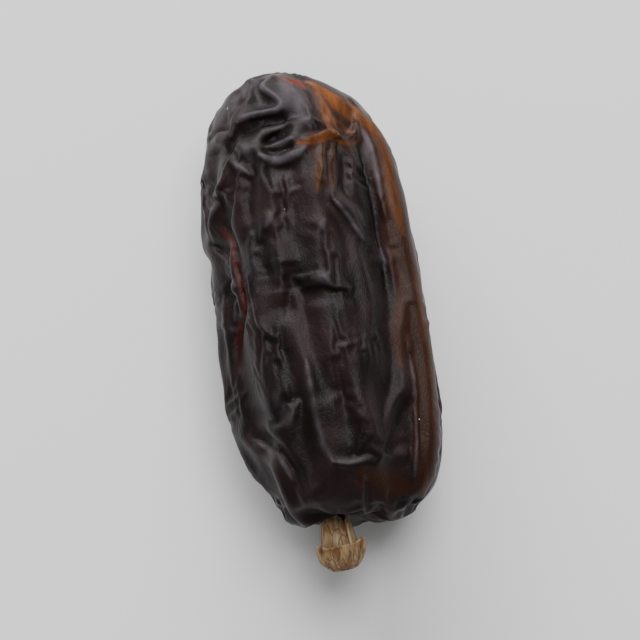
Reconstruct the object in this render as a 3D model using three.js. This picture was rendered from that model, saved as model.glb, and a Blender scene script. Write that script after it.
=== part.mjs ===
// One whole dried date, lying on its side as it settles on a flat surface.
// Millimetres, +Z up. The long axis runs along Y: the rounded tip is at +Y, and the stalk end, with the
// small woody cap that stays on a picked date, is at -Y. The loose ridge of skin is on the right, at +X.
// The origin is on the surface, under the middle of the whole date.
import * as THREE from "three";

// ---- The fruit: skin and flesh, grown as one piece ----
const FRUIT_LENGTH = 49;
const HALF_WIDTH_LEFT = 10.6;
const HALF_WIDTH_RIGHT = 11.6;
const HALF_HEIGHT = 10.4;
const PRESSED_FLAT = 0.55; // how deep its weight has pressed the flat spot into the underside
const TIP_SQUARENESS = 2.7; // 2 is a plain ellipse, and a higher value is blunter
const STALK_END_SQUARENESS = 3.7;
const LOPSIDED = 0.5; // the tip slopes more on the right, and the stalk end on the left
const STALK_END_FULLER = 0.04; // share by which the stalk half is wider than the tip half
const BELLY = 0.06; // share by which top and underside draw in from the middle to the ends
const AROUND_STEPS = 72;
const ALONG_STEPS = 52;

// The stalk end sinks in around a short nub, which the cap grips, a little to the left of the middle.
const STALK_SIDE = -1.1;
const HOLLOW_DEPTH = 1.1;
const HOLLOW_RADIUS = 3.6;
const NUB_HEIGHT = 2.4;
const NUB_RADIUS = 1.1;

// Long folds of the dried skin. Each runs from one place along Y to another at an angle around the body,
// 0 on the right and 90 on top, and it may wander round by "turn" degrees. A negative lift is a groove.
const FOLDS = [
  { angle: 24, turn: -10, from: -25, to: 20, lift: 1.0, width: 1.9 }, // the loose ridge on the right
  { angle: 50, turn: -6, from: -22, to: 12, lift: -0.55, width: 1.7 },
  { angle: 78, turn: 10, from: -16, to: 19, lift: 0.45, width: 2.0 },
  { angle: 104, turn: -8, from: -24, to: 2, lift: -0.5, width: 1.6 },
  { angle: 128, turn: 6, from: -19, to: 14, lift: 0.5, width: 1.8 },
  { angle: 149, turn: 8, from: -21, to: 15, lift: -0.75, width: 1.5 },
  { angle: 172, turn: -6, from: -20, to: 19, lift: 0.45, width: 2.1 },
  { angle: 204, turn: 8, from: -17, to: 16, lift: -0.6, width: 1.8 },
  { angle: 236, turn: -5, from: -20, to: 12, lift: 0.35, width: 2.2 },
  { angle: 305, turn: 6, from: -18, to: 17, lift: 0.4, width: 2.0 },
  { angle: 336, turn: -8, from: -20, to: 14, lift: -0.6, width: 1.8 },
];
const FOLD_FADE = 6; // length over which a fold dies out at each end

// ---- The cap: three petals inside a three-cornered calyx cup, dried to wood ----
const PETAL_COUNT = 3;
const PETAL_HALF_ANGLE = 56;
const PETAL_THICKNESS = 0.45;
const PETAL_RADIUS = 1.85; // at the foot, inside the cup
const PETAL_FLARE = -0.25; // how much wider the petals stand at the fruit; below 0 they draw in
const PETALS_TURNED = 20; // degrees round the cap
const PETAL_FROM_FRUIT = -0.35; // the tips reach into the hollow
const PETAL_SQUARENESS = 4; // of its outline, where 2 would be an ellipse
const PETAL_FOOT = 3.0; // how far out the petals' feet reach
const CUP_RIM = 2.3; // how far out from the fruit the cup's rim starts
const CUP_HEIGHT = 2.2;
const CUP_RIM_RADIUS = 2.6;
const CUP_BASE_RADIUS = 1.3;
const CUP_WALL = 0.45;
const CUP_CORNER = 0.35; // how far the three corners stand out past the round rim
const CUP_CORNER_RISE = 0.3; // and how far they reach toward the fruit
const CUP_TURNED = 60; // degrees, so that one corner points down
const SCAR_DEPTH = 0.35; // pit where the strand broke away
const CUP_AROUND_STEPS = 36;
const PETAL_ACROSS_STEPS = 20;
const PETAL_ALONG_STEPS = 14;
const CAP_LEAN = 5; // degrees, as the cap is seldom quite straight

const radians = THREE.MathUtils.degToRad;

const skin = new THREE.MeshStandardMaterial({ color: 0x2c1d1a, roughness: 0.42, metalness: 0 });
const wood = new THREE.MeshStandardMaterial({ color: 0x9c7d57, roughness: 0.8, metalness: 0 });
const cupWood = new THREE.MeshStandardMaterial({ color: 0x8a6a45, roughness: 0.85, metalness: 0 });

// Moves every vertex of a geometry by a function that takes and changes one point.
function reshape(geometry, move) {
  const positions = geometry.getAttribute("position");
  const point = new THREE.Vector3();
  for (let i = 0; i < positions.count; i += 1) {
    point.fromBufferAttribute(positions, i);
    move(point);
    positions.setXYZ(i, point.x, point.y, point.z);
  }
  geometry.computeVertexNormals();
  return geometry;
}

const smoothRise = (value, from, to) => THREE.MathUtils.smoothstep(value, from, to);

// How far the folds lift the skin at an angle around the body (degrees) and a place along it.
function foldLift(angle, along) {
  let lift = 0;
  for (const fold of FOLDS) {
    const middle = (fold.from + fold.to) / 2;
    const wander = (fold.turn * (along - middle)) / (fold.to - fold.from);
    const turned = THREE.MathUtils.euclideanModulo(angle - fold.angle - wander + 180, 360) - 180;
    const distance = radians(turned) * HALF_HEIGHT;
    const ends =
      smoothRise(along, fold.from - FOLD_FADE / 2, fold.from + FOLD_FADE / 2) *
      (1 - smoothRise(along, fold.to - FOLD_FADE / 2, fold.to + FOLD_FADE / 2));
    lift += fold.lift * ends * Math.exp(-((distance / fold.width) ** 2));
  }
  return lift;
}

// Carries a point of the unit sphere to the skin of the date, about its own middle.
function toSkin(point) {
  const along = point.y;
  const across = Math.hypot(point.x, point.z);
  const side = across > 1e-6 ? point.x / across : 0;
  const up = across > 1e-6 ? point.z / across : 0;

  const squareness =
    along > 0 ? TIP_SQUARENESS - LOPSIDED * side : STALK_END_SQUARENESS + LOPSIDED * 2 * side;
  const toEdge = (across ** squareness + Math.abs(along) ** squareness) ** (-1 / squareness);
  const out = across * toEdge;
  const y = (FRUIT_LENGTH / 2) * along * toEdge;

  const halfWidth =
    (HALF_WIDTH_RIGHT + HALF_WIDTH_LEFT) / 2 + ((HALF_WIDTH_RIGHT - HALF_WIDTH_LEFT) / 2) * side;
  const fuller = 1 - STALK_END_FULLER * along * toEdge;
  const lift = foldLift(THREE.MathUtils.radToDeg(Math.atan2(up, side)), y) * smoothRise(out, 0.45, 0.9);
  point.x = side * (out * halfWidth * fuller + lift);
  point.z = up * (out * HALF_HEIGHT * fuller * (1 - BELLY * (along * toEdge) ** 2) + lift);
  point.y = y;

  if (along < 0) {
    const fromAxis = Math.hypot(point.x - STALK_SIDE, point.z);
    point.y += HOLLOW_DEPTH * Math.exp(-((fromAxis / HOLLOW_RADIUS) ** 2));
    point.y -= NUB_HEIGHT * (1 - smoothRise(fromAxis, NUB_RADIUS * 0.6, NUB_RADIUS * 1.3));
  }
}

function makeFruit() {
  const axisHeight = HALF_HEIGHT - PRESSED_FLAT;
  const geometry = reshape(new THREE.SphereGeometry(1, AROUND_STEPS, ALONG_STEPS), (point) => {
    toSkin(point);
    point.z = Math.max(point.z, -axisHeight); // the underside lies flat on the surface
  });
  const fruit = new THREE.Mesh(geometry, skin);
  fruit.name = "date_fruit";
  fruit.position.z = axisHeight;
  return fruit;
}

// The cap's own frame has +Y pointing away from the fruit, with 0 where the fruit's end would be unhollowed.
// A petal is a thin scale wrapped round that axis, a little wider where it meets the fruit.
function makePetal(index) {
  const halfLength = (PETAL_FOOT - PETAL_FROM_FRUIT) / 2;
  const geometry = reshape(new THREE.SphereGeometry(1, PETAL_ACROSS_STEPS, PETAL_ALONG_STEPS), (point) => {
    const towardFruit = (1 - point.y) / 2;
    const round = Math.sqrt(Math.max(1 - point.y ** 2, 1e-9));
    const square = Math.max(1 - Math.abs(point.y) ** PETAL_SQUARENESS, 0) ** (1 / PETAL_SQUARENESS);
    const angle = radians(PETAL_HALF_ANGLE) * point.x * (square / round);
    const radius = PETAL_RADIUS + PETAL_FLARE * towardFruit ** 2 + (point.z * PETAL_THICKNESS) / 2;
    const outward = PETAL_FROM_FRUIT + halfLength * (1 + point.y);
    point.set(radius * Math.sin(angle), outward, radius * Math.cos(angle));
  });
  const petal = new THREE.Mesh(geometry, wood);
  petal.name = `cap_petal_${index + 1}`;
  petal.rotation.y = (index * 2 * Math.PI) / PETAL_COUNT + radians(PETALS_TURNED);
  return petal;
}

// The cup is a small bowl, open to the fruit, whose rim is drawn out into three corners.
function makeCup() {
  const top = CUP_RIM + CUP_HEIGHT;
  const floor = top - CUP_WALL * 1.6;
  const profile = [
    [0, floor],
    [CUP_BASE_RADIUS * 0.9, floor],
    [CUP_RIM_RADIUS - CUP_WALL, CUP_RIM + CUP_HEIGHT * 0.42],
    [CUP_RIM_RADIUS - CUP_WALL * 0.8, CUP_RIM + 0.1],
    [CUP_RIM_RADIUS - CUP_WALL * 0.4, CUP_RIM],
    [CUP_RIM_RADIUS, CUP_RIM + 0.15],
    [CUP_RIM_RADIUS * 0.98, CUP_RIM + CUP_HEIGHT * 0.4],
    [CUP_RIM_RADIUS * 0.78, CUP_RIM + CUP_HEIGHT * 0.75],
    [CUP_BASE_RADIUS, top],
    [CUP_BASE_RADIUS * 0.55, top],
    [0, top - SCAR_DEPTH],
  ].map(([radius, outward]) => new THREE.Vector2(radius, outward));
  const lathe = new THREE.LatheGeometry(profile, CUP_AROUND_STEPS);
  const geometry = reshape(lathe, (point) => {
    const radius = Math.hypot(point.x, point.z);
    const angle = Math.atan2(point.x, point.z);
    const nearRim = 1 - smoothRise(point.y, CUP_RIM, top);
    const corner = Math.max(0, Math.cos(PETAL_COUNT * angle)) ** 2;
    const grown = radius > CUP_BASE_RADIUS ? 1 + (CUP_CORNER / CUP_RIM_RADIUS) * corner * nearRim : 1;
    point.x *= grown;
    point.z *= grown;
    point.y -= CUP_CORNER_RISE * corner * nearRim;
  });
  const cup = new THREE.Mesh(geometry, cupWood);
  cup.name = "cap_cup";
  cup.rotation.y = radians(CUP_TURNED);
  return cup;
}

function makeCap() {
  const cap = new THREE.Group();
  for (let index = 0; index < PETAL_COUNT; index += 1) cap.add(makePetal(index));
  cap.add(makeCup());
  cap.position.set(STALK_SIDE, -FRUIT_LENGTH / 2, HALF_HEIGHT - PRESSED_FLAT);
  cap.rotation.set(0, 0, Math.PI + radians(CAP_LEAN), "XYZ");
  return cap;
}

const date = new THREE.Group();
date.add(makeFruit(), makeCap());

// Put the origin on the surface under the middle of the whole date.
const whole = new THREE.Box3().setFromObject(date, true);
const middle = whole.getCenter(new THREE.Vector3());
date.position.set(-middle.x, -middle.y, -whole.min.z);

const part = new THREE.Group();
part.add(date);

export default part;
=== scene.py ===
import math

import bmesh
import bpy
import numpy as np
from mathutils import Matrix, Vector, noise
from mathutils.bvhtree import BVHTree


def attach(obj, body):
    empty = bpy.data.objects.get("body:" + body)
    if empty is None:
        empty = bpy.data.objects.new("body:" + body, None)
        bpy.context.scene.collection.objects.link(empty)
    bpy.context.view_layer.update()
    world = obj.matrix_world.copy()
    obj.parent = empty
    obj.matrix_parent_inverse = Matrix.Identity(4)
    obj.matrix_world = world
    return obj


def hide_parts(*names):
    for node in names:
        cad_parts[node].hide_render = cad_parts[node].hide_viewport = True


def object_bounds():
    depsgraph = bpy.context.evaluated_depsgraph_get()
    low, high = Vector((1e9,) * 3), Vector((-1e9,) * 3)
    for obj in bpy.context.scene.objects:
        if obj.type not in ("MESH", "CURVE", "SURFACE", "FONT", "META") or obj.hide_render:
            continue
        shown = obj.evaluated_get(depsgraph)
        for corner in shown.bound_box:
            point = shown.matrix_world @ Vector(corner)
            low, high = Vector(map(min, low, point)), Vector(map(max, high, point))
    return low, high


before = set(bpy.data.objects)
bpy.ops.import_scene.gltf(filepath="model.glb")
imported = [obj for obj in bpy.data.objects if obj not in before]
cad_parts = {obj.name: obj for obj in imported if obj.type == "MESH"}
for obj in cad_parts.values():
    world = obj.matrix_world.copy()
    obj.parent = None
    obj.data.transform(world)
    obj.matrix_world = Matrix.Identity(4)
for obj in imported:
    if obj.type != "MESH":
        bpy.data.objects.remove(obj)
cad_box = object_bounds()

# ---- Camera ----
# The date can't stand on its own, so it lies on its side. The camera looks down on it, with the stalk end
# nearest and the tip at the top of the picture, leaning a little to the left.
CAMERA_ELEVATION = math.radians(80)
TIP_LEAN = math.radians(8)
CAMERA_LENS = 200
SENSOR = 36
VIEW_HEIGHT = 0.068  # what the square picture takes in, at the middle of the date

low, high = (Vector(corner) for corner in cad_box)
aim = (low + high) / 2
distance = VIEW_HEIGHT * CAMERA_LENS / SENSOR
toward_camera = Vector((
    -math.sin(TIP_LEAN) * math.cos(CAMERA_ELEVATION),
    -math.cos(TIP_LEAN) * math.cos(CAMERA_ELEVATION),
    math.sin(CAMERA_ELEVATION),
))
camera_data = bpy.data.cameras.new("camera")
camera_data.lens = CAMERA_LENS
camera_data.sensor_width = SENSOR
camera_data.clip_start = 0.01
camera = bpy.data.objects.new("camera", camera_data)
camera.location = aim + toward_camera * distance
camera.rotation_euler = (-toward_camera).to_track_quat("-Z", "Y").to_euler()
bpy.context.collection.objects.link(camera)
bpy.context.scene.camera = camera

# ---- Date fruit ----
# The skin and flesh of one dried date, grown as one piece. As it dried the flesh shrank under the skin,
# which buckled into long folds, and came loose from the flesh in a caramel band down the right side.
MM = 0.001
CELLS = 49  # along each edge of the starting cube
FRUIT_HALF = np.array([11.2, 24.5, 10.2])  # only sets how the mesh spreads over the body
FRUIT_CENTRE = Vector((-0.3, 2.25, 9.85))

# Folds that stand out, each along a path seen from above (x, y) on the upper side, in mm: its height,
# below 0 for a groove, how wide its left and right flanks are as the path runs, and the path.
BROAD_FOLDS = [
    # the roundness of the whole outline
    (0.5, 2.2, 2.6, [(-7.0, 23.4), (-5.0, 25.2), (-2.6, 26.2)]),  # at the tip
    (-0.45, 2.5, 2.5, [(11.8, 3.0), (12.0, -3.0), (11.8, -9.0)]),  # under the loose band
    (0.45, 2.4, 2.4, [(4.5, 24.0), (6.5, 22.4), (8.6, 20.4), (9.8, 18.0)]),  # at the right shoulder
    # the curled fold at the tip, the crease under it, and the hollows each side
    (0.5, 1.8, 0.5, [(-1.9, 25.5), (-2.6, 25.0), (-2.6, 24.5), (-1.9, 23.7), (-1.1, 22.8), (-0.8, 22.1),
                     (-0.9, 21.6)]),
    (0.45, 0.45, 0.9, [(-0.9, 21.7), (-2.4, 21.5), (-4.2, 21.5), (-5.6, 21.1), (-6.4, 20.2), (-7.2, 19.0)]),
    (-0.65, 0.8, 0.5, [(0.1, 20.9), (-1.6, 20.7), (-3.6, 20.6), (-5.2, 20.2), (-6.3, 19.3), (-6.8, 18.4)]),
    (-0.5, 1.0, 1.0, [(-1.9, 22.6), (-3.0, 22.5), (-3.8, 22.8)]),
    (-0.35, 0.8, 0.8, [(-5.3, 23.8), (-5.6, 22.8)]),
    (-0.35, 0.7, 0.7, [(-6.7, 22.4), (-7.0, 21.4)]),
    # the eye-like pocket and its lips
    (-0.35, 0.6, 0.6, [(-0.9, 19.0), (-1.6, 18.7), (-2.6, 18.3)]),
    (0.2, 0.4, 0.6, [(0.0, 18.2), (-1.2, 17.8), (-2.6, 17.5)]),
    (0.16, 0.5, 0.6, [(1.0, 16.9), (-0.2, 16.2), (-1.6, 15.8), (-3.0, 16.0), (-4.1, 16.8)]),
    (-0.25, 1.1, 0.7, [(0.2, 14.9), (-1.8, 14.6), (-3.9, 15.1)]),
    (0.35, 1.3, 1.3, [(-5.3, 18.4), (-5.1, 16.6)]),
    # the left shoulder
    (0.35, 0.7, 0.7, [(-8.0, 20.2), (-7.2, 20.0)]),
    (-0.35, 0.7, 0.7, [(-7.2, 18.6), (-8.2, 18.0), (-9.2, 18.2)]),
    (0.4, 0.9, 0.8, [(-8.2, 15.4), (-8.9, 13.6), (-9.8, 11.6)]),
    (-0.4, 0.9, 0.9, [(-6.9, 15.4), (-7.6, 13.0), (-8.4, 11.0)]),
    (-0.4, 1.0, 1.0, [(-5.2, 14.2), (-5.9, 12.0), (-5.8, 9.6)]),
    # the loose band of skin down the right side, and the groove along its inner edge
    (0.9, 2.2, 0.8, [(2.9, 24.4), (3.9, 23.3), (5.5, 21.5), (7.4, 20.0), (8.6, 18.2), (9.0, 15.0),
                      (9.1, 10.0), (9.4, 6.0), (9.7, 2.0), (9.8, -2.0), (9.9, -6.0), (9.8, -10.0),
                      (9.4, -14.0), (8.8, -17.5), (7.7, -20.0)]),
    (-0.55, 0.45, 1.0, [(5.8, 19.0), (6.9, 17.4), (7.3, 14.0), (7.4, 10.0), (7.6, 6.0), (7.6, 2.0),
                       (7.2, -2.0)]),
    (0.5, 0.9, 0.9, [(9.2, 0.6), (8.5, -1.2), (7.9, -3.6), (7.6, -6.5), (7.4, -10.0)]),
    # the web of ridges beside it
    (0.3, 0.7, 0.6, [(2.2, 24.6), (3.1, 22.6), (3.5, 20.8), (3.8, 19.2), (4.1, 18.1)]),
    (0.35, 0.6, 0.6, [(4.1, 18.1), (2.6, 18.0), (1.2, 17.6), (0.1, 17.7)]),
    (0.3, 0.6, 0.6, [(6.7, 20.6), (6.6, 19.2), (6.2, 18.0), (5.2, 17.6), (4.2, 18.0)]),
    (-0.5, 0.9, 0.9, [(5.0, 20.0), (5.1, 19.0)]),
    (-0.25, 0.8, 0.8, [(2.1, 23.4), (2.3, 21.2), (2.4, 19.6)]),
    (0.4, 1.1, 0.9, [(2.7, 17.0), (2.3, 15.4), (1.8, 13.6), (1.2, 11.8)]),
    (-0.45, 1.1, 0.8, [(4.8, 16.2), (4.6, 14.0), (4.2, 12.0), (5.0, 10.8)]),
    (-0.3, 1.2, 1.2, [(6.2, 14.8), (6.1, 12.6)]),
    # soft dimples and swellings of the middle
    (0.4, 1.4, 0.8, [(2.9, 11.0), (3.7, 9.8), (4.5, 8.6), (5.1, 7.2), (5.7, 6.0)]),
    (-0.3, 1.0, 1.0, [(2.3, 10.4), (3.1, 8.8), (3.7, 7.0), (3.9, 5.0)]),
    (0.25, 0.9, 0.9, [(4.7, 5.4), (4.9, 3.6), (5.0, 1.2)]),
    (-0.35, 1.1, 1.1, [(6.1, 7.6), (5.9, 5.4), (6.0, 2.6), (6.4, 1.0)]),
    (0.35, 1.2, 1.2, [(7.2, 5.0), (7.2, 3.8)]),
    (0.3, 1.1, 1.1, [(1.7, 8.8), (0.8, 7.6)]),
    (0.35, 1.1, 1.1, [(-3.5, 10.4), (-4.2, 9.4), (-4.7, 8.6)]),
    (-0.35, 1.2, 1.2, [(-1.9, 10.7), (-3.0, 10.8)]),
    (0.25, 1.2, 1.2, [(-3.3, 5.4), (-3.2, 4.6)]),
    (-0.25, 1.2, 1.2, [(-1.9, 7.4), (-0.9, 5.4)]),
    (0.25, 1.2, 1.0, [(1.8, 1.9), (0.5, 2.7), (-0.5, 2.9)]),
    (-0.2, 1.0, 1.0, [(3.0, 0.6), (0.3, 0.9), (-1.4, 1.1)]),
    (-0.3, 1.1, 1.1, [(-2.6, 0.2), (-3.8, 0.4)]),
    (-0.3, 1.1, 1.1, [(-1.2, -1.4), (-2.0, -1.4)]),
    (-0.25, 0.9, 0.9, [(-4.7, 5.2), (-4.7, 3.6)]),
    # the red-brown groove on the left and the swelling beside it
    (-0.6, 0.8, 0.8, [(-8.6, 10.6), (-8.0, 8.4), (-7.8, 6.2), (-7.7, 4.0), (-7.7, 2.0), (-8.1, 0.0),
                      (-8.9, -1.8), (-9.2, -4.0)]),
    (0.35, 1.0, 0.7, [(-6.3, 7.4), (-6.3, 5.0), (-6.4, 3.0), (-6.1, 1.0), (-6.3, -0.6), (-5.8, -1.9)]),
    (-0.4, 0.7, 0.7, [(-8.5, 7.4), (-9.4, 8.7), (-10.3, 9.4)]),
    # the stalk half: a long ridge, the flat-bottomed hollow beside it, and slanting folds on the left
    (0.35, 0.7, 1.2, [(-2.2, -5.6), (-2.1, -9.0), (-2.0, -12.4), (-1.6, -14.8), (-0.8, -16.5)]),
    (-0.5, 1.3, 1.3, [(0.9, -7.0), (1.0, -11.5), (1.1, -15.0)]),
    (0.25, 1.1, 0.7, [(4.6, -17.0), (2.6, -16.7), (0.8, -17.0), (-0.7, -16.6)]),
    (-0.3, 1.2, 1.2, [(4.4, -8.0), (4.8, -12.4)]),
    (0.4, 0.9, 1.1, [(-9.4, -11.6), (-7.4, -14.1), (-6.4, -15.6), (-5.6, -17.6)]),
    (-0.4, 0.7, 0.7, [(-8.9, -11.2), (-7.2, -12.6), (-5.8, -14.4), (-4.9, -16.2)]),
    (-0.25, 0.7, 0.7, [(-5.0, -9.8), (-5.9, -11.2), (-6.8, -11.2), (-7.6, -10.0), (-8.6, -9.2)]),
    (0.3, 1.2, 1.2, [(-3.6, -17.8), (-3.4, -19.6)]),
    (-0.3, 0.8, 0.8, [(2.4, -18.4), (2.3, -20.8)]),
]
CRISP_FOLDS = [  # their sharp edges, from the tip to the stalk end
    (0.3, 0.5, 0.22, [(-1.4, 26.0), (-2.6, 25.3), (-2.7, 24.6), (-2.0, 23.8), (-1.2, 23.0), (-0.8, 22.4),
                       (-0.9, 21.8), (-1.6, 21.6), (-3.2, 21.5), (-4.8, 21.5), (-5.8, 21.2), (-6.4, 20.4)]),
    (-0.35, 0.4, 0.3, [(-0.2, 21.15), (-1.4, 21.1), (-3.2, 21.0), (-5.0, 20.9), (-6.0, 20.2), (-6.9, 19.0)]),
    (0.3, 0.3, 0.35, [(-3.8, 24.6), (-4.2, 23.4), (-4.8, 22.4), (-5.4, 21.6)]),
    (-0.35, 0.45, 0.3, [(-0.7, 19.25), (-1.8, 19.0), (-3.1, 18.3)]),
    (0.3, 0.3, 0.4, [(0.2, 18.2), (-1.3, 17.8), (-2.6, 17.5), (-3.2, 17.5)]),
    (-0.3, 0.25, 0.25, [(0.2, 17.2), (-1.2, 16.95), (-2.6, 16.9), (-3.5, 17.3)]),
    (0.2, 0.35, 0.45, [(1.0, 16.9), (0.0, 16.2), (-1.2, 15.8), (-2.6, 15.8), (-3.8, 16.3), (-4.3, 17.0)]),
    (-0.2, 0.4, 0.3, [(0.4, 15.35), (-1.4, 15.0), (-3.2, 15.15)]),
    (0.3, 0.3, 0.35, [(-6.6, 19.7), (-7.4, 20.1), (-8.2, 20.2)]),
    (0.25, 0.3, 0.3, [(-7.0, 19.2), (-7.9, 19.2)]),
    (-0.3, 0.3, 0.3, [(-6.2, 20.9), (-7.6, 21.0), (-8.9, 20.6)]),
    (-0.25, 0.3, 0.3, [(-7.5, 18.8), (-8.6, 18.6), (-9.6, 18.9)]),
    (0.2, 0.35, 0.4, [(-7.0, 17.0), (-6.3, 16.0), (-5.3, 15.0)]),
    (0.25, 0.35, 0.4, [(-7.9, 15.6), (-8.9, 13.6), (-9.8, 11.8)]),
    (0.3, 0.35, 0.2, [(6.5, 20.0), (7.3, 18.9), (7.8, 17.0), (7.95, 14.0), (8.05, 11.0), (8.2, 9.0),
                      (8.4, 6.0)]),
    (-0.2, 0.25, 0.25, [(0.2, 25.4), (1.6, 24.4), (2.9, 22.6)]),
    (0.28, 0.25, 0.25, [(8.7, -4.0), (8.6, -8.0), (8.3, -12.0), (7.9, -15.5), (7.2, -19.0)]),
    (0.35, 0.35, 0.3, [(2.2, 24.6), (3.1, 22.6), (3.5, 20.8), (3.8, 19.2), (4.1, 18.1)]),
    (0.42, 0.3, 0.4, [(4.2, 18.3), (3.2, 18.25), (2.2, 18.0), (1.2, 17.6), (-0.1, 17.8)]),
    (0.35, 0.3, 0.3, [(6.7, 20.8), (6.6, 19.2), (6.2, 18.0), (5.2, 17.6), (4.1, 18.1)]),
    (-0.25, 0.3, 0.25, [(4.3, 17.4), (4.1, 15.8), (3.9, 13.4), (3.4, 11.2)]),
    (0.3, 0.3, 0.3, [(2.6, 17.2), (2.3, 15.6), (2.1, 13.8), (1.6, 11.9)]),
    (0.3, 0.25, 0.3, [(3.8, 17.0), (3.5, 15.4), (3.4, 13.4), (3.2, 11.6)]),
    (-0.25, 0.25, 0.25, [(3.1, 16.4), (2.9, 14.0), (2.6, 12.4)]),
    (0.3, 0.5, 0.2, [(2.9, 10.9), (3.6, 9.9), (4.4, 8.8), (4.8, 7.6), (5.5, 6.4)]),
    (0.12, 0.3, 0.4, [(3.2, 1.3), (2.2, 1.4), (1.4, 1.7), (0.9, 2.4)]),
    (-0.12, 0.35, 0.3, [(2.6, 0.9), (1.4, 1.1), (0.3, 1.6), (-0.8, 1.7)]),
    (0.25, 0.25, 0.3, [(-9.2, 7.2), (-8.7, 5.6), (-8.4, 3.8), (-8.5, 2.0), (-9.0, 0.4)]),
    (-0.25, 0.25, 0.25, [(-8.0, 7.6), (-7.9, 5.6), (-7.8, 3.6), (-7.8, 1.4)]),
    (0.22, 0.3, 0.3, [(-7.0, 4.2), (-6.9, 2.4), (-6.6, 0.8), (-6.7, -0.6), (-6.0, -1.9)]),
    (-0.3, 0.3, 0.25, [(-8.5, 7.2), (-9.4, 8.7), (-10.3, 9.4)]),
    (0.22, 0.25, 0.4, [(-2.2, -5.6), (-2.1, -9.0), (-2.0, -12.4), (-1.7, -14.6), (-0.9, -16.3)]),
    (0.15, 0.5, 0.25, [(2.4, -16.4), (1.2, -16.8), (0.2, -16.6), (-0.9, -16.3)]),
    (0.2, 0.35, 0.35, [(5.4, -16.4), (4.4, -16.4), (3.6, -15.6), (2.8, -15.2)]),
    (0.3, 0.4, 0.35, [(-8.4, -12.6), (-7.2, -13.9), (-6.2, -15.3), (-5.4, -17.4)]),
    (-0.25, 0.25, 0.25, [(-8.7, -12.0), (-7.2, -13.1), (-6.0, -14.6), (-5.1, -16.2)]),
    (0.2, 0.3, 0.3, [(-4.9, -17.8), (-4.4, -20.0)]),
    (0.18, 0.3, 0.3, [(-1.6, -19.5), (-2.8, -19.8)]),
    (-0.2, 0.25, 0.25, [(2.3, -18.6), (2.2, -20.9)]),
    (-0.2, 0.25, 0.25, [(5.0, -18.2), (4.4, -20.6)]),
    (-0.2, 0.25, 0.25, [(-1.0, -18.9), (-1.3, -21.0)]),
]

# What the skin's colour follows, each along paths as above: its strength, half width and path.
LOOSE_SKIN = [  # thin and free of the flesh, so it shows caramel
    (1.0, 1.5, [(2.2, 25.0), (4.0, 23.2), (5.6, 21.5), (7.6, 20.1), (9.0, 18.2)]),
    (0.82, 1.6, [(5.6, 21.5), (7.6, 20.1), (9.0, 18.2), (9.4, 15.0), (9.6, 11.0), (9.8, 7.0)]),
    (0.7, 2.0, [(9.6, 13.0), (9.9, 10.0), (10.2, 6.0), (10.5, 2.0), (10.5, -2.0), (10.5, -6.0), (10.4, -10.0),
                (10.0, -14.0), (9.2, -17.5), (8.0, -20.0)]),
    (0.88, 1.5, [(3.2, 21.2), (4.4, 19.8), (5.9, 18.6)]),
    (0.45, 1.7, [(1.4, 16.6), (2.6, 14.6), (3.0, 12.4)]),
    (0.95, 1.0, [(2.7, 24.0), (3.4, 22.4), (3.8, 20.8), (3.7, 19.4), (3.9, 18.2)]),
    (1.0, 0.8, [(4.3, 18.0), (2.6, 17.7), (1.2, 17.3), (0.0, 17.4)]),
    (0.85, 1.0, [(4.2, 17.5), (5.4, 17.0), (6.4, 17.6)]),
    (0.85, 0.6, [(6.6, 17.6), (6.7, 19.2), (6.9, 20.6)]),
    (0.8, 1.2, [(2.9, 17.0), (2.3, 16.0)]),
    (0.78, 0.7, [(2.2, 16.4), (1.9, 14.2), (1.4, 11.8)]),
    (0.75, 0.5, [(3.7, 17.0), (3.5, 15.0), (3.4, 13.0)]),
    (0.6, 0.9, [(9.2, 0.8), (8.4, -1.2), (7.8, -3.6), (7.5, -7.0)]),
    (0.5, 2.4, [(2.0, -17.8), (4.2, -19.0), (6.4, -19.6)]),
]
RED_SKIN = [  # thin but still on the flesh
    (1.0, 1.2, [(-0.9, 26.0), (0.6, 25.3), (2.4, 24.2)]),
    (0.5, 1.2, [(-8.9, 10.4), (-8.1, 8.8)]),
    (0.52, 0.8, [(-8.6, 10.6), (-8.1, 8.4), (-7.9, 6.2), (-7.7, 4.0), (-7.6, 2.0), (-8.2, 0.0),
                 (-9.0, -2.2), (-9.2, -5.0)]),
    (0.52, 0.6, [(8.3, 10.0), (8.4, 5.0), (8.7, 1.0), (8.4, -1.0)]),
    (0.55, 0.6, [(2.0, 7.7), (2.5, 7.7)]),
    (0.4, 1.6, [(0.2, -17.8), (1.6, -19.0)]),
]
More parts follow.
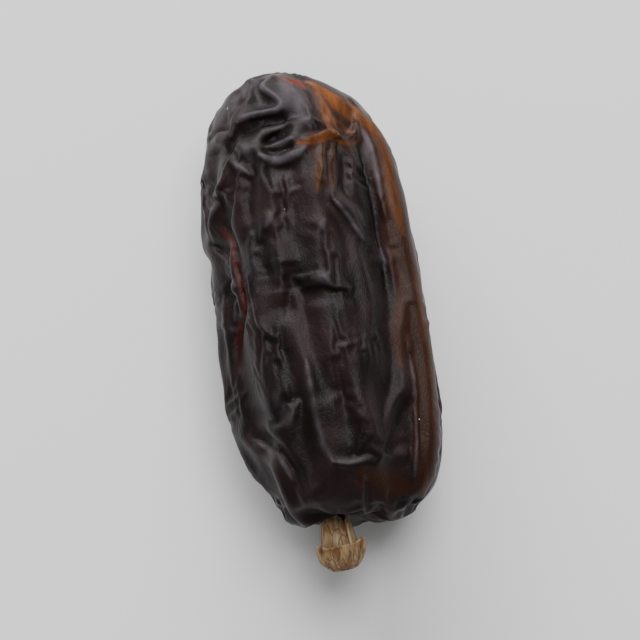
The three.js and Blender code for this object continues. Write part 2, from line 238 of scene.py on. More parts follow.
WAX_AND_SHEEN = [  # the greyish bloom that is left on high and sheltered places, and painted sheen on ridges and swellings
    (0.65, 1.4, [(-0.6, 25.6), (-0.1, 24.2), (0.1, 22.4), (0.9, 20.6), (1.4, 19.6)]),
    (0.55, 2.2, [(-3.6, 25.6), (-5.6, 24.4), (-7.6, 22.4)]),
    (1.0, 0.28, [(-1.5, 26.0), (-2.7, 25.3), (-2.8, 24.6), (-2.1, 23.8), (-1.3, 23.0), (-0.9, 22.4),
                 (-1.0, 21.8), (-1.6, 21.55), (-3.2, 21.45), (-4.8, 21.45), (-5.8, 21.1)]),
    (0.6, 0.8, [(-0.8, 19.9), (-3.4, 19.7)]),
    (0.8, 0.4, [(-0.3, 18.0), (-1.6, 17.7), (-2.6, 17.5)]),
    (0.85, 0.45, [(0.8, 16.8), (-0.3, 16.1), (-1.6, 15.8), (-3.0, 16.0), (-4.0, 16.8)]),
    (0.5, 1.3, [(-5.4, 18.2), (-5.0, 16.4)]),
    (0.9, 0.3, [(-6.9, 16.9), (-6.2, 15.9), (-5.3, 15.0)]),
    (0.6, 0.5, [(-8.4, 15.2), (-9.0, 13.6), (-9.7, 12.0)]),
    (0.7, 0.6, [(-8.3, 20.0), (-7.2, 19.8)]),
    (0.5, 0.6, [(-9.6, 17.4), (-10.1, 14.0)]),
    (1.0, 0.32, [(6.9, 19.4), (7.6, 18.0), (7.95, 15.0), (8.1, 11.0)]),
    (0.5, 0.5, [(7.2, 17.6), (7.4, 15.4)]),
    (0.55, 1.0, [(7.2, 5.6), (7.3, 3.6)]),
    (0.8, 0.22, [(2.9, 10.9), (3.6, 9.9), (4.4, 8.8), (4.8, 7.6), (5.5, 6.4)]),
    (0.5, 0.8, [(5.4, 9.6), (5.9, 8.2)]),
    (0.5, 0.8, [(1.7, 8.8), (0.9, 7.6)]),
    (0.5, 0.8, [(-3.7, 10.2), (-4.4, 9.0)]),
    (0.55, 0.8, [(1.4, 1.9), (0.4, 2.8), (-0.4, 2.9)]),
    (0.5, 0.25, [(-1.5, 2.1), (-4.6, 2.1)]),
    (0.6, 0.28, [(-9.1, 7.0), (-8.6, 5.4), (-8.4, 3.8), (-8.5, 2.0), (-9.0, 0.4)]),
    (0.4, 0.7, [(-6.3, 7.2), (-6.3, 5.0), (-6.2, 2.4)]),
    (0.4, 0.9, [(-1.0, 0.2), (1.4, 0.0)]),
    (0.5, 0.4, [(-2.2, -5.6), (-2.1, -9.0), (-2.0, -12.4), (-1.7, -14.6), (-0.9, -16.3)]),
    (0.5, 0.3, [(2.4, -16.3), (1.2, -16.7), (0.2, -16.5), (-0.8, -16.2)]),
    (0.6, 0.3, [(-8.2, -12.7), (-7.1, -13.9), (-6.1, -15.3), (-5.4, -17.2)]),
    (0.4, 1.6, [(-6.0, -8.6), (-4.2, -12.4)]),
    (0.6, 0.22, [(8.6, -6.0), (8.4, -11.0), (8.0, -15.0), (7.3, -18.6)]),
]
QUIET_SKIN = [(0.6, 3.0, [(-1.5, 13.5), (-1.0, 8.5), (-0.5, 3.5)])]  # the middle buckled less

FOLD_ROOM = 0.5  # the body starts this much smaller, and the folds fill it out
ROOM_FULL_BELOW, ROOM_GONE_ABOVE = 8, 17  # where along the fruit that room runs out, before the tip
FACET_LIFT = 0.22  # the height of the flats between the folds
ROUND_GROWTH, UPPER_LOSS = 0.115, 0.05  # how much too big the skin is round the fruit, and less above
LENGTH_SHARE = 0.3  # and how much of that it is along the fruit
TIP_FROM, TIP_LENGTH = 22.5, 3  # towards the tip the skin fits closer
FLESH_PUSH = 0.020  # how hard the flesh resists the skin sinking in
FLESH_PULL = 0.005  # and how hard it holds the skin down
SLIP = 0.01  # how hard it holds the skin from sliding
CREST_PASSES, HOLLOW_PASSES = 10, 150  # how far the skin is smoothed to tell its crests and hollows


def tables_of(shape):
    """The neighbours of each vertex along the edges, those and the ones across faces, and face corners."""
    beside = np.empty((len(shape.verts), 4), dtype=np.int32)
    around = np.empty((len(shape.verts), 8), dtype=np.int32)
    for vertex in shape.verts:
        index = vertex.index
        near = [edge.other_vert(vertex).index for edge in vertex.link_edges]
        ring = {other.index for face in vertex.link_faces for other in face.verts}
        across = sorted(ring.difference(near, [index]))
        beside[index] = (near + [index] * 4)[:4]
        around[index] = (near + [index] * 4)[:4] + (across + [index] * 4)[:4]
    corners = np.array([[loop.vert.index for loop in face.loops] for face in shape.faces])
    return beside, around, corners


def smoothed(values, beside, times):
    """Values at the vertices, drawn towards their neighbours' a number of times."""
    for _ in range(times):
        values = 0.5 * values + 0.5 * values[beside].mean(axis=1)
    return values


def normals_of(points, corners):
    """The outward direction at each vertex."""
    a, b, c, d = (points[corners[:, k]] for k in range(4))
    face_normal = np.cross(c - a, d - b)
    total = np.stack([
        np.bincount(corners.ravel(), np.repeat(face_normal[:, axis], 4), len(points)) for axis in range(3)
    ], axis=1)
    return total / np.linalg.norm(total, axis=1)[:, None]


def on_surface(path, tree):
    """A path seen from above, as close points on the skin in mm, with how far along each one is."""
    path = np.array(path, dtype=float)
    steps = np.maximum(np.ceil(np.linalg.norm(np.diff(path, axis=0), axis=1) / 0.15), 1).astype(int)
    points = [path[0]]
    for a, b, n in zip(path[:-1], path[1:], steps):
        points += [a + (b - a) * (k + 1) / n for k in range(n)]
    points = np.array(points)
    for _ in range(20):
        points[1:-1] = (points[:-2] + 2 * points[1:-1] + points[2:]) / 4
    placed = []
    for x, y in points:
        hit = tree.ray_cast(Vector((x, y, 40)), Vector((0, 0, -1)))[0]
        placed.append(hit or tree.find_nearest(Vector((x, y, FRUIT_CENTRE.z)))[0])
    placed = np.array(placed)
    for _ in range(20):
        placed[1:-1] = (placed[:-2] + 2 * placed[1:-1] + placed[2:]) / 4
    placed = np.array([tree.find_nearest(Vector(point))[0] for point in placed])
    run = np.concatenate([[0], np.cumsum(np.linalg.norm(np.diff(placed, axis=0), axis=1))])
    return placed, run


def near_path(path, reach, points, outward, tree):
    """The vertices near a path, how far each is from it (left is above 0), and its place along it."""
    placed, run = on_surface(path, tree)
    inside = np.all((points > placed.min(0) - reach) & (points < placed.max(0) + reach), axis=1)
    chosen = np.nonzero(inside)[0]
    apart = points[chosen][:, None, :] - placed[None, :, :]
    gap = np.einsum("ijk,ijk->ij", apart, apart)
    nearest = gap.argmin(axis=1)
    tangent = np.gradient(placed, axis=0)[nearest]
    rows = np.arange(len(chosen))
    side = np.sign((apart[rows, nearest] * np.cross(outward[chosen], tangent)).sum(axis=1))
    return chosen, side * np.sqrt(gap[rows, nearest]), run[nearest], run[-1]


def folded(folds, points, outward, corners):
    """How far a list of folds lifts each vertex."""
    tree = BVHTree.FromPolygons([tuple(p) for p in points], [tuple(f) for f in corners])
    lifted = np.zeros(len(points))
    for lift, left_wide, right_wide, path in folds:
        chosen, apart, along, length = near_path(path, 4 * max(left_wide, right_wide), points, outward, tree)
        fade = 0.25 * length
        ends = np.clip(along / fade, 0, 1) * np.clip((length - along) / fade, 0, 1)
        wide = np.where(apart > 0, left_wide, right_wide)
        lifted[chosen] += lift * (0.5 + 0.5 * ends) * np.exp(-np.abs(apart / wide) ** 1.7)
    return lifted


def painted(strokes, points, outward, corners):
    """How strongly a list of strokes marks each vertex, from 0 to 1."""
    tree = BVHTree.FromPolygons([tuple(p) for p in points], [tuple(f) for f in corners])
    marked = np.zeros(len(points))
    for strength, wide, path in strokes:
        chosen, apart, along, length = near_path(path, 3 * wide, points, outward, tree)
        ends = np.clip(np.minimum(along, length - along) / (2.5 * wide), 0, 1)
        tapered = wide * (0.35 + 0.65 * ends)
        marked[chosen] = np.maximum(marked[chosen], strength * np.exp(-0.7 * np.abs(apart / tapered) ** 2.5))
    return marked


def noise_field(points, size, seed, drawn_out=1.0):
    """Smooth noise at each vertex, with lumps of a size in mm that are drawn out along the fruit."""
    shift = Vector((seed * 17.3, seed * 5.1, seed * 9.7))
    return np.array([noise.noise(Vector((x, y / drawn_out, z)) / size + shift) for x, y, z in points])


def let_film_go(rest_shape, start, outward, tables, round_grow, long_grow, bend_stiffness, steps):
    """Settles a stiff film that is a little too big for the soft flesh it covers, from a first shape."""
    beside, around = tables[:2]
    gap = rest_shape[around] - rest_shape[:, None, :]
    own_length = np.linalg.norm(gap, axis=2)
    lengthwise = (gap[:, :, 1] / np.maximum(own_length, 1e-9)) ** 2
    grow = round_grow[:, None] * (1 - lengthwise) + long_grow[:, None] * lengthwise
    own_length = (own_length * (1 + grow)).astype(np.float32)
    stiffness = np.array([1, 1, 1, 1, 0.5, 0.5, 0.5, 0.5], dtype=np.float32)
    rest, out, at = (values.astype(np.float32) for values in (rest_shape, outward, start))
    speed = np.zeros_like(at)
    for step in range(steps):
        gap = at[around] - at[:, None, :]
        length = np.sqrt(np.einsum("ijk,ijk->ij", gap, gap))
        force = np.einsum("ij,ijk->ik", stiffness * (1 - own_length / np.maximum(length, 1e-6)), gap)
        moved = at - rest
        bend = moved[beside].mean(axis=1) - moved
        force -= bend_stiffness * (bend[beside].mean(axis=1) - bend)
        lift = np.einsum("ij,ij->i", moved, out)[:, None]
        force -= np.where(lift < 0, FLESH_PUSH, FLESH_PULL) * lift * out + SLIP * (moved - lift * out)
        speed = 0.93 * (speed + 0.4 * force)
        at = at + 0.4 * speed
        at[:, 2] = np.maximum(at[:, 2], 0)
    return at.astype(float)


# The fruit's own mesh: a cube of even cells, blown up until it lies on the body of the fruit
skin = bmesh.new()
bmesh.ops.create_cube(skin, size=2)
bmesh.ops.subdivide_edges(skin, edges=skin.edges[:], cuts=CELLS - 1, use_grid_fill=True)
lengthwise_edges = [edge for edge in skin.edges if abs(edge.verts[0].co.y - edge.verts[1].co.y) > 1e-6]
bmesh.ops.subdivide_edges(skin, edges=lengthwise_edges, cuts=1, use_grid_fill=True)
skin.verts.index_update()
direction = np.tan(np.array([vertex.co for vertex in skin.verts]) * math.pi / 4)
direction /= np.linalg.norm(direction, axis=1)[:, None]

cad_tree = BVHTree.FromObject(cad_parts["date_fruit"], bpy.context.evaluated_depsgraph_get())
body = np.array([cad_tree.ray_cast(FRUIT_CENTRE * MM, Vector(ray))[0] for ray in direction * FRUIT_HALF]) / MM
tables = tables_of(skin)
body = smoothed(body, tables[0], 12)
outward = normals_of(body, tables[2])
room = np.clip((ROOM_GONE_ABOVE - body[:, 1]) / (ROOM_GONE_ABOVE - ROOM_FULL_BELOW), 0.05, 1)
body -= FOLD_ROOM * room[:, None] * outward

# The broad folds, and then the skin settles round them. It stays taut where it is loose in a band.
relief = folded(BROAD_FOLDS, body, outward, tables[2])
relief += FACET_LIFT * noise_field(body, size=4.2, seed=4, drawn_out=1.5)
rest_shape = body + relief[:, None] * outward
upper = np.clip((outward[:, 2] + 0.1) / 0.7, 0, 1)
patchy = np.clip(1 + 1.4 * noise_field(body, size=6.0, seed=1, drawn_out=1.6), 0.1, 2.0)
taut = np.clip(3 * smoothed(painted(LOOSE_SKIN, body, outward, tables[2]), tables[0], 12), 0, 1)
quiet = painted(QUIET_SKIN, body, outward, tables[2])
round_grow = (ROUND_GROWTH - UPPER_LOSS * upper) * patchy * (1 - 0.95 * taut) * (1 - quiet)
round_grow *= 1 - np.clip((body[:, 1] - TIP_FROM) / TIP_LENGTH, 0, 0.85)
outward = normals_of(rest_shape, tables[2])
start = rest_shape + (0.05 * noise_field(body, size=1.8, seed=2, drawn_out=2.5))[:, None] * outward
start = let_film_go(rest_shape, start, outward, tables, round_grow, LENGTH_SHARE * round_grow,
                    bend_stiffness=0.6, steps=500)

for vertex, place in zip(skin.verts, start):
    vertex.co = place * MM
mesh = bpy.data.meshes.new("date_skin_film")
skin.to_mesh(mesh)
skin.free()
fruit = bpy.data.objects.new("date_skin_and_flesh", mesh)
bpy.context.collection.objects.link(fruit)
halve = fruit.modifiers.new("halve", "SUBSURF")
halve.levels = halve.render_levels = 1
bpy.context.view_layer.update()
mesh = bpy.data.meshes.new_from_object(fruit.evaluated_get(bpy.context.evaluated_depsgraph_get()))
fruit.modifiers.clear()
fruit.data = mesh

# The sharp folds on the finer mesh, and then the small creases settle between them
skin = bmesh.new()
skin.from_mesh(mesh)
tables = tables_of(skin)
skin.free()
body = np.empty(len(mesh.vertices) * 3)
mesh.vertices.foreach_get("co", body)
body = body.reshape(-1, 3) / MM
outward = normals_of(body, tables[2])
paint = {name: painted(strokes, body, outward, tables[2])
         for name, strokes in (("loose", LOOSE_SKIN), ("red", RED_SKIN), ("wax_and_sheen", WAX_AND_SHEEN))}
uneven = np.clip(0.95 + 1.6 * noise_field(body, size=1.6, seed=8), 0.25, 1.7)
rest_shape = body + (uneven * folded(CRISP_FOLDS, body, outward, tables[2]))[:, None] * outward
outward = normals_of(rest_shape, tables[2])
fine = noise_field(body, size=0.7, seed=5, drawn_out=1.6)
upper = np.clip((outward[:, 2] + 0.1) / 0.7, 0, 1)
patchy = np.clip(0.35 + 1.6 * noise_field(body, size=4.0, seed=7, drawn_out=1.3), 0.1, 1)
patchy *= (1 - 0.35 * upper) * (1 - 0.8 * paint["loose"])
start = rest_shape + (0.04 * fine)[:, None] * outward
start = let_film_go(rest_shape, start, outward, tables, 0.10 * patchy, 0.065 * patchy,
                    bend_stiffness=0.26, steps=140)
outward = normals_of(start, tables[2])
# These crests and hollows also set where highlights are painted on the crests and shade in the hollows.
for name, passes in (("crest", CREST_PASSES), ("height", HOLLOW_PASSES)):
    paint[name] = ((start - smoothed(start, tables[0], passes)) * outward).sum(axis=1)
mesh.vertices.foreach_set("co", (start * MM).ravel())
for name, values in paint.items():
    mesh.attributes.new(name, "FLOAT", "POINT").data.foreach_set("value", values.astype(np.float32))
mesh.polygons.foreach_set("use_smooth", [True] * len(mesh.polygons))
mesh.update()
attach(fruit, "root")
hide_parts("date_fruit")


def linear(code):
    """An sRGB hex colour as linear light."""
    parts = [int(code[k:k + 2], 16) / 255 for k in (1, 3, 5)]
    return tuple(p / 12.92 if p <= 0.04045 else ((p + 0.055) / 1.055) ** 2.4 for p in parts) + (1.0,)


def add(tree, kind, inputs, output=0, **settings):
    """Adds one node with its settings, and its inputs as values or as links from other nodes' outputs."""
    node = tree.nodes.new("ShaderNode" + kind)
    for name, value in settings.items():
        setattr(node, name, value)
    for name, value in inputs.items():
        if isinstance(value, bpy.types.NodeSocket):
            tree.links.new(value, node.inputs[name])
        else:
            node.inputs[name].default_value = value
    return node.outputs[output] if len(node.outputs) else node


# Dried date skin, which dried on the palm and in the sun. It is nearly black, with a soft gloss from its
# sugars, and its wax leaves a thin greyish bloom, partly painted sheen. Where it stands clear of the flesh it
# shows caramel. Painted highlights lie on its crests and painted shade in its hollows.
skin_finish = bpy.data.materials.new("dried_date_skin")
skin_finish.use_nodes = True
tree = skin_finish.node_tree
tree.nodes.clear()
place = add(tree, "TexCoord", {}, "Object")
loose, red, wax_and_sheen, crest, height = (
    add(tree, "Attribute", {}, "Fac", attribute_name=name)
    for name in ("loose", "red", "wax_and_sheen", "crest", "height")
)

# Clouds of colour, streaks and fine grain: the size of each in mm, and how far it is drawn out along the
# fruit. The real grain is about 0.1 mm, too fine to show, so it is drawn three times as coarse.
mottle, streaks, grain = (
    add(tree, "TexNoise", {
        "Vector": add(tree, "Mapping", {"Vector": place, "Scale": (1, 1 / drawn_out, 1)}),
        "Scale": 1 / (size * MM), "Detail": detail, "Roughness": rough,
    })
    for size, drawn_out, detail, rough in ((4.0, 1.8, 6, 0.6), (1.1, 6.0, 3, 0.5), (0.35, 1.5, 5, 0.7))
)
# The crackle of the dried wax, drawn coarse enough to show, and the rare sugar grains on it
crackle, grain_gap, grain_kind = (
    add(tree, "TexVoronoi", {
        "Vector": add(tree, "Mapping", {"Vector": place, "Scale": (1, 1 / drawn_out, 1)}),
        "Scale": 1 / (size * MM),
    }, output, feature=feature)
    for size, drawn_out, feature, output in (
        (0.45, 1.8, "DISTANCE_TO_EDGE", "Distance"), (2.2, 1.0, "F1", "Distance"), (2.2, 1.0, "F1", "Color"),
    )
)
grain_kind = add(tree, "SeparateColor", {"Color": grain_kind}, "Red")

# Each mark from where it starts to where it is full, with its edge broken up by a pattern
brown_at, loose_at, red_at, wax_and_sheen_at, crest_highlight_at, hollow_shade_at, pale_at, speck_near, speck_kept, crackle_at = (
    add(tree, "MapRange", {
        "Value": add(tree, "Math", {0: pattern, 1: depth, 2: mark}, operation="MULTIPLY_ADD"),
        "From Min": low + depth / 2, "From Max": high + depth / 2,
    }, interpolation_type="SMOOTHSTEP")
    for mark, pattern, depth, low, high in (
        (loose, grain, 0.55, 0.08, 0.45),
        (loose, mottle, 1.6, 0.35, 0.95),
        (red, grain, 0.55, 0.30, 0.75),
        (wax_and_sheen, grain, 0.33, 0.1, 0.95),
        (crest, 0.0, 0.0, 0.02, 0.16),
        (height, 0.0, 0.0, -0.05, -0.5),
        (loose, 0.0, 0.0, 0.6, 1.0),
        (grain_gap, 0.0, 0.0, 0.06, 0.03),
        (grain_kind, 0.0, 0.0, 0.78, 0.8),
        (crackle, 0.0, 0.0, 0.0, 0.12),
    )
)
clouds, patches, sheen_clouds, streaked, dull_at = (
    add(tree, "MapRange", {
        "Value": pattern, "From Min": low, "From Max": high, "To Min": least, "To Max": most,
    }, interpolation_type="SMOOTHSTEP")
    for pattern, low, high, least, most in (
        (mottle, 0.35, 0.65, 0.0, 1.0),
        (mottle, 0.45, 0.75, 0.0, 0.5),
        (mottle, 0.35, 0.65, 0.26, 0.5),
        (streaks, 0.3, 0.7, 0.0, 1.0),
        (mottle, 0.3, 0.7, 0.38, 0.5),
    )
)
dark, red_brown, caramel, deep_caramel = (
    add(tree, "Mix", {0: pattern, 6: linear(first), 7: linear(second)}, 2, data_type="RGBA")
    for pattern, first, second in (
        (clouds, "#110a0a", "#251617"),
        (streaked, "#2f100a", "#642112"),
        (streaked, "#4a270c", "#784213"),
        (streaked, "#221208", "#3a210f"),
    )
)
caramel = add(tree, "Mix", {0: patches, 6: caramel, 7: linear("#35190a")}, 2, data_type="RGBA")
caramel = add(tree, "Mix", {0: pale_at, 6: deep_caramel, 7: caramel}, 2, data_type="RGBA")

# The colours lie over each other in this order, each where its mark is and at most so strong
colour = dark
for where, strength, coat in (
    # painted highlight: the crests of the folds are coloured paler, as if lit
    (crest_highlight_at, 0.4, linear("#3a2f31")),
    (red_at, 0.95, red_brown),
    (brown_at, 1.0, linear("#2c150a")),
    (loose_at, 1.0, caramel),
    # painted shade: the hollows are darkened, as if shaded
    (hollow_shade_at, 0.5, linear("#0c0706")),
    # the grey bloom: partly real wax bloom, partly painted sheen and highlights on ridges and swellings
    (wax_and_sheen_at, sheen_clouds, linear("#655f68")),
    (speck_near, add(tree, "Math", {0: speck_kept, 1: 0.7}, operation="MULTIPLY"), linear("#d8cfc4")),
):
    share = add(tree, "Math", {0: where, 1: strength}, operation="MULTIPLY")
    colour = add(tree, "Mix", {0: share, 6: colour, 7: coat}, 2, data_type="RGBA")

crackled = add(tree, "Bump", {"Height": crackle_at, "Strength": 0.3, "Distance": 0.04 * MM})
grained = add(tree, "Bump", {"Height": grain, "Strength": 0.5, "Distance": 0.08 * MM, "Normal": crackled})
surface = add(tree, "BsdfPrincipled", {
    "Base Color": colour,
    "Roughness": add(tree, "Math", {0: wax_and_sheen_at, 1: 0.08, 2: dull_at}, operation="MULTIPLY_ADD"),
    "Normal": grained, "IOR": 1.45, "Specular IOR Level": 0.22, "Sheen Weight": 0.04, "Sheen Roughness": 0.4,
})
add(tree, "OutputMaterial", {"Surface": surface})
mesh.materials.append(skin_finish)

# ---- Cap petals ----
# Three petals of the flower, dried to thin woody scales. They still clasp the nub of the stalk end, each
# tucked under the next, and their feet stand in the calyx cup.
CAP_AT = Vector((-1.4, -22.2, 9.85))  # the middle of the stalk end
CAP_LEAN = math.radians(5)
PETAL_HALF_ANGLE = 72
PETAL_THICKNESS = 0.34
PETAL_FROM, PETAL_TO = -1.4, 3.1  # how far out from the fruit it starts and ends
PETAL_RADIUS_AT_FRUIT, PETAL_RADIUS_AT_FOOT = 1.5, 2.0
PETAL_TUCK = 0.2  # how much further out one edge stands than the other
PETALS_TURNED = 20


def cap_point(angle, radius, out):
    """A point of the cap: degrees round its axis from the top, distance from it, and out from the fruit."""
    turn = math.radians(angle)
    x, y = -radius * math.sin(turn), -out
    return (CAP_AT + Vector((
        x * math.cos(CAP_LEAN) - y * math.sin(CAP_LEAN),
        x * math.sin(CAP_LEAN) + y * math.cos(CAP_LEAN),
        radius * math.cos(turn),
    ))) * MM


def bumpy(*at):
    """Smooth noise at a point."""
    return noise.noise(Vector(at))


def finish_cap_piece(shape, name, material, node, edge_marks):
    """Makes an object of a shape, with its worn edges and its darker places marked for the material."""
    mesh = bpy.data.meshes.new(name)
    shape.to_mesh(mesh)
    shape.free()
    mesh.attributes.new("wear_and_darkening", "FLOAT", "POINT").data.foreach_set("value", edge_marks)
    mesh.polygons.foreach_set("use_smooth", [True] * len(mesh.polygons))
    mesh.materials.append(material)
    piece = bpy.data.objects.new(name, mesh)
    bpy.context.collection.objects.link(piece)
    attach(piece, "root")
    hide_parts(node)
    return piece


def dried_calyx(name, pale, brown, crack):
    """Calyx dried to thin wood: dull straw brown with fibres along it, dark cracks and worn pale edges."""
    finish = bpy.data.materials.new(name)
    finish.use_nodes = True
    tree = finish.node_tree
    tree.nodes.clear()
    place = add(tree, "TexCoord", {}, "Object")
    wear_and_darkening = add(tree, "Attribute", {}, "Fac", attribute_name="wear_and_darkening")
    fibre, patch = (
        add(tree, "TexNoise", {
            "Vector": add(tree, "Mapping", {"Vector": place, "Scale": (1, 1 / drawn_out, 1)}),
            "Scale": 1 / (size * MM), "Detail": detail, "Roughness": rough,
        })
        for size, drawn_out, detail, rough in ((0.35, 6.0, 5, 0.65), (1.6, 1.5, 3, 0.5))
    )
    split = add(tree, "TexVoronoi", {
        "Vector": add(tree, "Mapping", {"Vector": place, "Scale": (1, 1 / 5.0, 1)}),
        "Scale": 1 / (0.9 * MM),
    }, feature="DISTANCE_TO_EDGE")
    patchy, fibrous, worn_at, darkened_at, split_at, split_depth, dull_at = (
        add(tree, "MapRange", {
            "Value": value, "From Min": low, "From Max": high, "To Min": least, "To Max": most,
        }, interpolation_type="SMOOTHSTEP")
        for value, low, high, least, most in (
            (patch, 0.38, 0.6, 0.0, 1.0),
            (fibre, 0.35, 0.7, 0.0, 0.6),
            (wear_and_darkening, 0.0, 1.0, 0.0, 0.6),
            (wear_and_darkening, 0.0, -1.0, 0.0, 1.0),
            (split, 0.05, 0.0, 0.0, 0.7),
            (split, 0.0, 0.08, 0.0, 1.0),
            (fibre, 0.3, 0.7, 0.62, 0.85),
        )
    )
    colour = linear(brown)
    for where, coat in (
        # The crack colour also darkens the cup's creases and the middle of its base and inside, and the
        # petals towards their feet.
        (patchy, pale), (fibrous, crack), (worn_at, "#cbb692"), (darkened_at, crack), (split_at, crack),
    ):
        colour = add(tree, "Mix", {0: where, 6: colour, 7: linear(coat)}, 2, data_type="RGBA")
    groove = add(tree, "Bump", {"Height": split_depth, "Strength": 0.6, "Distance": 0.08 * MM})
    relief = add(tree, "Bump", {"Height": fibre, "Strength": 0.8, "Distance": 0.12 * MM, "Normal": groove})
    surface = add(tree, "BsdfPrincipled", {
        "Base Color": colour, "Roughness": dull_at, "Normal": relief, "IOR": 1.5,
    })
    add(tree, "OutputMaterial", {"Surface": surface})
    return finish


petal_wood = dried_calyx("dried_calyx_scale", "#a8936f", "#8a6238", "#3e2816")
for index in range(3):
    petal = bmesh.new()
    bmesh.ops.create_grid(petal, x_segments=30, y_segments=24, size=1)
    marks = []
    for vertex in petal.verts:
        across, along = vertex.co.x, (vertex.co.y + 1) / 2  # along is 0 at the fruit and 1 at the foot
        ragged = bumpy(across * 2.5, index * 7.1, 3.0) * 0.35 + bumpy(across * 8, index * 3.3, 5.0) * 0.12
        blunt = (0.9 * abs(across) ** 3.5 + ragged + 0.1) * (1 - along) ** 1.5
        out = PETAL_FROM + (PETAL_TO - PETAL_FROM) * along + blunt
        pinch = 1 - 0.12 * (1 - along) ** 2
        angle = PETALS_TURNED + 120 * index + PETAL_HALF_ANGLE * across * pinch
        spread = math.sin(along * math.pi / 2)
        radius = PETAL_RADIUS_AT_FRUIT + (PETAL_RADIUS_AT_FOOT - PETAL_RADIUS_AT_FRUIT) * spread
        radius += PETAL_TUCK * across + 0.12 * bumpy(across * 1.6, along * 1.5, index * 4.4)
        radius += 0.05 * bumpy(across * 9, along * 1.2, index * 2.2)
        radius -= 0.08 * math.exp(-(across / 0.08) ** 2) * along
        radius += 0.18 * max(0, abs(across) - 0.8) * (1 - along)
        vertex.co = cap_point(angle, radius, out)
        # Pale at the side edges and at the end by the fruit, darker towards the foot.
        marks.append(max(0.0, abs(across) * 6 - 5.1, 1 - along * 9) - max(0.0, along * 5 - 4))
    piece = finish_cap_piece(
        petal, f"cap_scale_{index + 1}", petal_wood, f"cap_petal_{index + 1}", marks)
    thick = piece.modifiers.new("thickness", "SOLIDIFY")
    thick.thickness = PETAL_THICKNESS * MM
    thick.offset = -1
    smooth = piece.modifiers.new("smooth", "SUBSURF")
    smooth.levels = smooth.render_levels = 1

# ---- Calyx cup ----
# The three-cornered cup of the flower, dried hard, with the small pit in its base where it broke from the
# strand. It creased as it dried.
CUP_RIM, CUP_BASE = 1.9, 4.5  # how far out from the fruit
CUP_RIM_RADIUS, CUP_BASE_RADIUS = 2.6, 1.3
CUP_WALL = 0.4
CUP_CORNER, CUP_CORNER_RISE = 0.35, 0.3
CUP_TURNED = 60
CUP_AROUND = 120

cup_side = [  # radius and how far out, from the middle of the base over the rim to the middle inside
    (0.0, CUP_BASE - 0.35), (0.3, CUP_BASE - 0.34), (0.6, CUP_BASE - 0.2), (0.8, CUP_BASE - 0.02),
    (1.05, CUP_BASE), (CUP_BASE_RADIUS, CUP_BASE - 0.06), (1.6, CUP_BASE - 0.25), (1.9, CUP_BASE - 0.5),
    (2.2, CUP_BASE - 0.85), (2.42, CUP_BASE - 1.2), (2.54, CUP_BASE - 1.55), (CUP_RIM_RADIUS, CUP_RIM + 0.3),
    (CUP_RIM_RADIUS + 0.02, CUP_RIM + 0.1), (CUP_RIM_RADIUS - 0.1, CUP_RIM),
    (CUP_RIM_RADIUS - CUP_WALL, CUP_RIM + 0.12), (CUP_RIM_RADIUS - CUP_WALL - 0.02, CUP_RIM + 0.5),
    (2.0, CUP_RIM + 1.0), (1.2, CUP_RIM + 1.3), (0.0, CUP_RIM + 1.4),
]
cup = bmesh.new()
corners_of_side = [cup.verts.new((radius, out, 0)) for radius, out in cup_side]
for a, b in zip(corners_of_side[:-1], corners_of_side[1:]):
    cup.edges.new((a, b))
bmesh.ops.spin(cup, geom=cup.verts[:] + cup.edges[:], cent=(0, 0, 0), axis=(0, 1, 0), angle=math.tau,
               steps=CUP_AROUND, use_merge=True)
bmesh.ops.remove_doubles(cup, verts=cup.verts, dist=1e-4)
marks = []
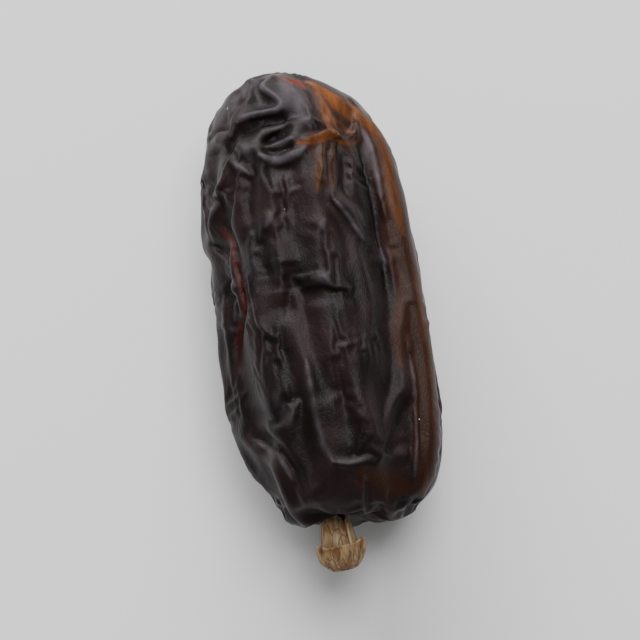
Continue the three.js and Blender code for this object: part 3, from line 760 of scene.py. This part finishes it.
for vertex in cup.verts:
    radius, out = math.hypot(vertex.co.x, vertex.co.z), vertex.co.y
    angle = math.atan2(vertex.co.x, vertex.co.z)
    near_rim = min(max((CUP_BASE - out) / (CUP_BASE - CUP_RIM), 0), 1)
    corner = max(0.0, math.cos(3 * angle)) ** 2
    around = Vector((math.sin(angle), math.cos(angle), 0)) * 2.2
    crease = abs(bumpy(around.x * 1.7, around.y * 1.7, out * 0.25))
    out -= CUP_CORNER_RISE * corner * near_rim ** 2 - 0.22 * (1 - corner) * near_rim ** 3
    out += 0.12 * bumpy(around.x * 2.4, around.y * 2.4, 8.0) * near_rim
    if radius > 1.0:
        radius *= 1 + CUP_CORNER / CUP_RIM_RADIUS * corner * near_rim
        radius -= 0.22 * max(0, 0.3 - crease) / 0.3 * min(1, near_rim * 2.5)
        radius += 0.05 * bumpy(around.x * 5, around.y * 5, out * 0.8)
    vertex.co = cap_point(CUP_TURNED + math.degrees(angle), radius, out)
    # Darker along the creases and near the axis: in the pit of the base and deep inside the cup.
    darkening = 0.8 * max(0.0, 0.12 - crease) / 0.12 + max(0.0, 1 - radius / 0.8)
    marks.append(max(0.0, near_rim * 8 - 7.1) - darkening)
bmesh.ops.recalc_face_normals(cup, faces=cup.faces)
cup_wood = dried_calyx("dried_calyx_cup", "#b39468", "#86592f", "#3a2312")
piece = finish_cap_piece(cup, "calyx_cup", cup_wood, "cap_cup", marks)
smooth = piece.modifiers.new("smooth", "SUBSURF")
smooth.levels = smooth.render_levels = 1

# ---- Floor and lights ----
# A sheet of pale backdrop paper under the date, and two softboxes over it: a low one beyond the tip, which
# gives the tip and the folds their sheen, and one above. A dim white room fills the shadows.
FLOOR_SIZE = 3.0
SOFTBOX_POWER = 6.0
ROOM_LIGHT = 0.25
bpy.ops.mesh.primitive_plane_add(size=FLOOR_SIZE)
floor = bpy.context.object
floor.name = "floor"
# Uncoated backdrop paper, pressed smooth: matt and even, so that it shows nothing but the shadow
paper = bpy.data.materials.new("pale_grey_paper")
paper.use_nodes = True
paper.node_tree.nodes.clear()
surface = add(paper.node_tree, "BsdfPrincipled", {"Base Color": linear("#f3f4f4"), "Roughness": 0.9})
add(paper.node_tree, "OutputMaterial", {"Surface": surface})
floor.data.materials.append(paper)


def softbox(name, place_at, size):
    """A rectangular soft light that faces the date."""
    light = bpy.data.lights.new(name, "AREA")
    light.shape = "RECTANGLE"
    light.size, light.size_y = size
    light.energy = SOFTBOX_POWER
    lamp = bpy.data.objects.new(name, light)
    lamp.location = place_at
    lamp.rotation_euler = (aim - Vector(place_at)).to_track_quat("-Z", "Y").to_euler()
    bpy.context.collection.objects.link(lamp)


softbox("softbox_beyond_tip", (-0.05, 0.55, 0.30), (0.6, 0.35))
softbox("softbox_above", (0.15, 0.25, 0.9), (0.5, 0.5))
world = bpy.data.worlds.new("studio")
world.use_nodes = True
world.node_tree.nodes["Background"].inputs["Color"].default_value = (1, 1, 1, 1)
world.node_tree.nodes["Background"].inputs["Strength"].default_value = ROOM_LIGHT
bpy.context.scene.world = world

bpy.context.view_layer.update()
